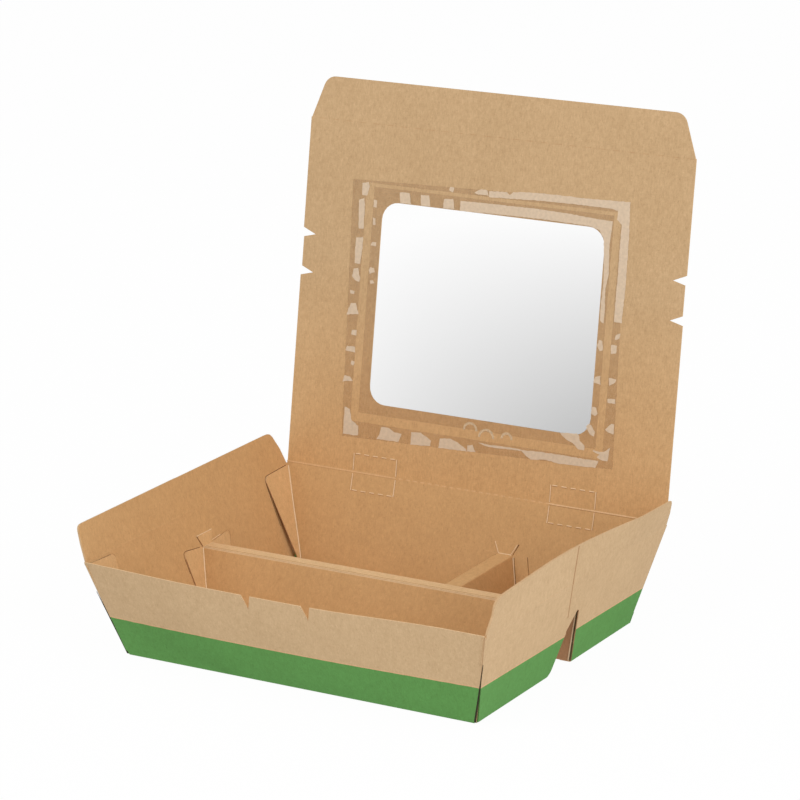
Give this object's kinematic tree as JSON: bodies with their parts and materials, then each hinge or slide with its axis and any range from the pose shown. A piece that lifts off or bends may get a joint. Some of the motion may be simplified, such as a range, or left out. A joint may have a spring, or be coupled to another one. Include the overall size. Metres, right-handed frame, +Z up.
{
  "type": "takeaway box",
  "caption": "Folded kraft board food box with three compartments, sloping walls, side flaps and a hinged lid with a clear film window and a tuck flap.",
  "frame": {"origin": "middle of the underside of the front compartment's floor", "axes": "+Z up, +X to the right along the front wall, +Y from the front wall to the hinge of the lid"},
  "size_m": [0.2384, 0.2287, 0.253],
  "materials": {
    "kraft_board": "matte brown kraft, with a green printed band low on the outside of the tray",
    "clear_film": "clear glossy film"
  },
  "bodies": {
    "tray": {"tray": "kraft_board"},
    "left_flap": {"left_side_flap": "kraft_board"},
    "right_flap": {"right_side_flap": "kraft_board"},
    "lid": {"lid_panel": "kraft_board", "window_film": "clear_film"},
    "tuck": {"tuck_flap": "kraft_board"}
  },
  "joints": [
    {"name": "lid_hinge", "type": "hinge", "parent": "tray", "child": "lid", "pos_m": [0, 0.13378, 0.0509], "axis": [1, 0, 0], "range_deg": [-90, 100.5]},
    {"name": "tuck_fold", "type": "hinge", "parent": "lid", "child": "tuck", "pos_m": [0, 0.16716, 0.23103], "axis": [1, 0, 0], "range_deg": [0, 105]},
    {"name": "left_flap_fold", "type": "hinge", "parent": "tray", "child": "left_flap", "pos_m": [-0.11319, 0, 0.0498], "axis": [0, 1, 0], "range_deg": [0, 111]},
    {"name": "right_flap_fold", "type": "hinge", "parent": "tray", "child": "right_flap", "pos_m": [0.11319, 0, 0.0498], "axis": [0, -1, 0], "range_deg": [0, 111]}
  ]
}
